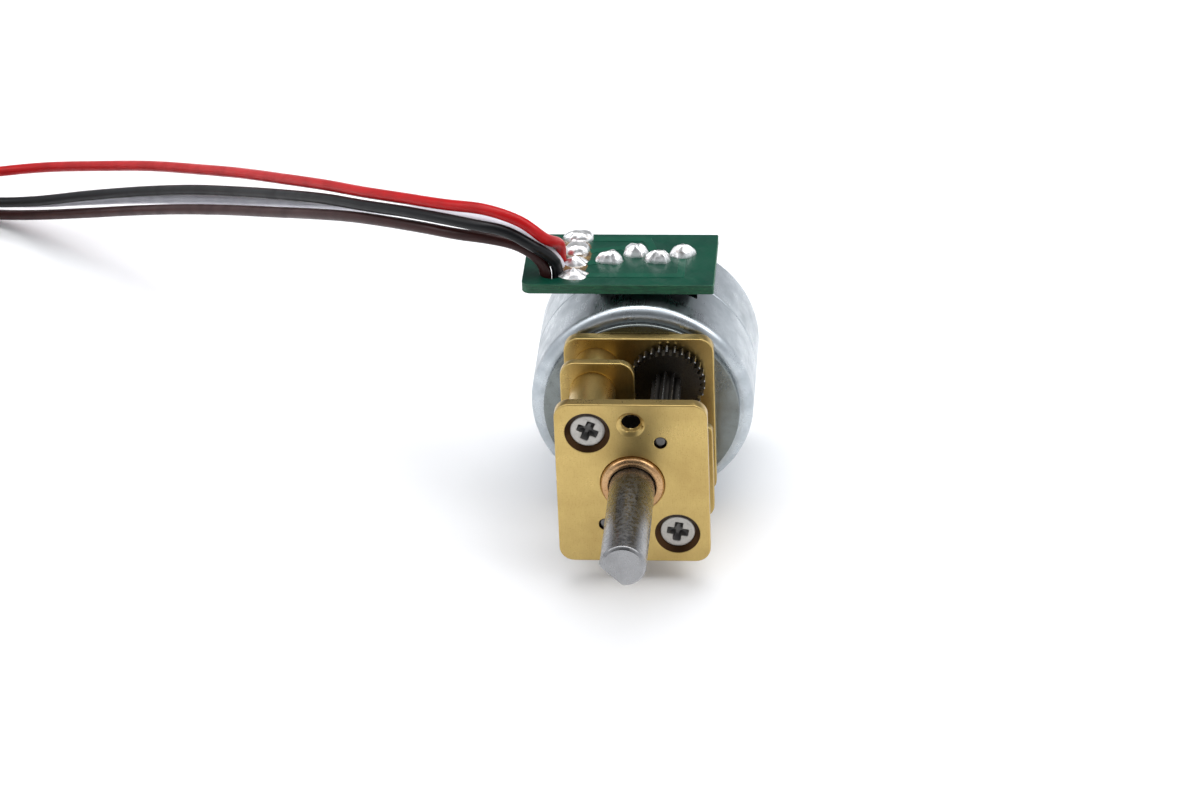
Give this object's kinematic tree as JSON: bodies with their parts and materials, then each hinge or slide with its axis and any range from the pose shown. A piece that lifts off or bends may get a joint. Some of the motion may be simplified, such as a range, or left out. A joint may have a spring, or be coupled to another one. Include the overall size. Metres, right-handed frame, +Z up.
{
  "type": "gearmotor",
  "caption": "Small can-stack stepper motor with an open three-plate brass spur gearbox, a D output shaft, a terminal board on top and four wire leads.",
  "frame": {"origin": "on the surface the can lies on, under the middle of the motor and gearbox together, below the shaft axis (leads not counted)", "axes": "+Z up, -Y out along the output shaft, +X to the right seen from the shaft's end"},
  "size_m": [0.0751, 0.0613, 0.0211],
  "materials": {
    "brass": "fine brushed, lightly speckled",
    "bronze": "turned sintered bronze, slightly polished",
    "shaft_steel": "ground and polished",
    "dark_steel": "oiled dark steel teeth",
    "zinc_steel": "bluish zinc plating, satin",
    "screw_steel": "nickel plated, matt",
    "ferrite": "ground ferrite, matt",
    "black_plastic": "moulded, satin",
    "copper_wire": "enamelled copper",
    "board_green": "green solder mask, glossy",
    "solder": "bright tin solder",
    "lead_brown": "smooth PVC insulation",
    "lead_black": "smooth PVC insulation",
    "lead_white": "smooth PVC insulation",
    "lead_red": "smooth PVC insulation"
  },
  "bodies": {
    "root": {"front_plate": "brass", "middle_plate": "brass", "back_plate": "brass", "column_front_upper": "brass", "column_front_lower": "brass", "column_rear_upper": "brass", "column_rear_lower": "brass", "spacer_a": "brass", "spacer_b": "brass", "front_screw_upper": "screw_steel", "front_screw_lower": "screw_steel", "output_bush": "bronze", "front_bearing": "bronze", "rear_bearing": "bronze", "thrust_washer_front": "bronze", "thrust_washer_rear": "bronze", "arbor_a": "shaft_steel", "arbor_b": "shaft_steel", "front_flange": "zinc_steel", "rear_cover": "zinc_steel", "front_can": "zinc_steel", "rear_can": "zinc_steel", "front_claw_plate": "zinc_steel", "rear_claw_plate": "zinc_steel", "front_bobbin": "black_plastic", "rear_bobbin": "black_plastic", "front_winding": "copper_wire", "rear_winding": "copper_wire", "circuit_board": "board_green", "terminal_pin_1": "solder", "terminal_pin_2": "solder", "terminal_pin_3": "solder", "terminal_pin_4": "solder", "pin_solder_1": "solder", "pin_solder_2": "solder", "pin_solder_3": "solder", "pin_solder_4": "solder", "lead_solder_brown": "solder", "lead_solder_black": "solder", "lead_solder_white": "solder", "lead_solder_red": "solder", "lead_brown": "lead_brown", "lead_black": "lead_black", "lead_white": "lead_white", "lead_red": "lead_red", "lead_coil": "lead_red"},
    "rotor": {"motor_pinion": "brass", "motor_shaft": "shaft_steel", "rotor_hub": "black_plastic", "rotor_magnet": "ferrite"},
    "gear_a": {"gear_a": "dark_steel"},
    "idler": {"idler_gear": "dark_steel"},
    "gear_b": {"gear_b": "dark_steel"},
    "output": {"output_shaft": "shaft_steel", "output_gear": "dark_steel"}
  },
  "joints": [
    {"name": "rotor_spin", "type": "hinge", "parent": "root", "child": "rotor", "pos_m": [0, 0, 0.0075], "axis": [0, -1, 0], "continuous": true},
    {"name": "gear_a_spin", "type": "hinge", "parent": "root", "child": "gear_a", "pos_m": [0.0019, 0, 0.01065], "axis": [0, -1, 0], "continuous": true},
    {"name": "idler_spin", "type": "hinge", "parent": "root", "child": "idler", "pos_m": [0, 0, 0.0075], "axis": [0, -1, 0], "continuous": true},
    {"name": "gear_b_spin", "type": "hinge", "parent": "root", "child": "gear_b", "pos_m": [-0.0019, 0, 0.00435], "axis": [0, -1, 0], "continuous": true},
    {"name": "output_spin", "type": "hinge", "parent": "root", "child": "output", "pos_m": [0, 0, 0.0075], "axis": [0, -1, 0], "continuous": true}
  ],
  "couplings": [
    {"joint": "gear_a_spin", "follows": "rotor_spin", "ratio": -0.53333},
    {"joint": "idler_spin", "follows": "rotor_spin", "ratio": 0.14815},
    {"joint": "gear_b_spin", "follows": "rotor_spin", "ratio": -0.079012},
    {"joint": "output_spin", "follows": "rotor_spin", "ratio": 0.021948}
  ]
}
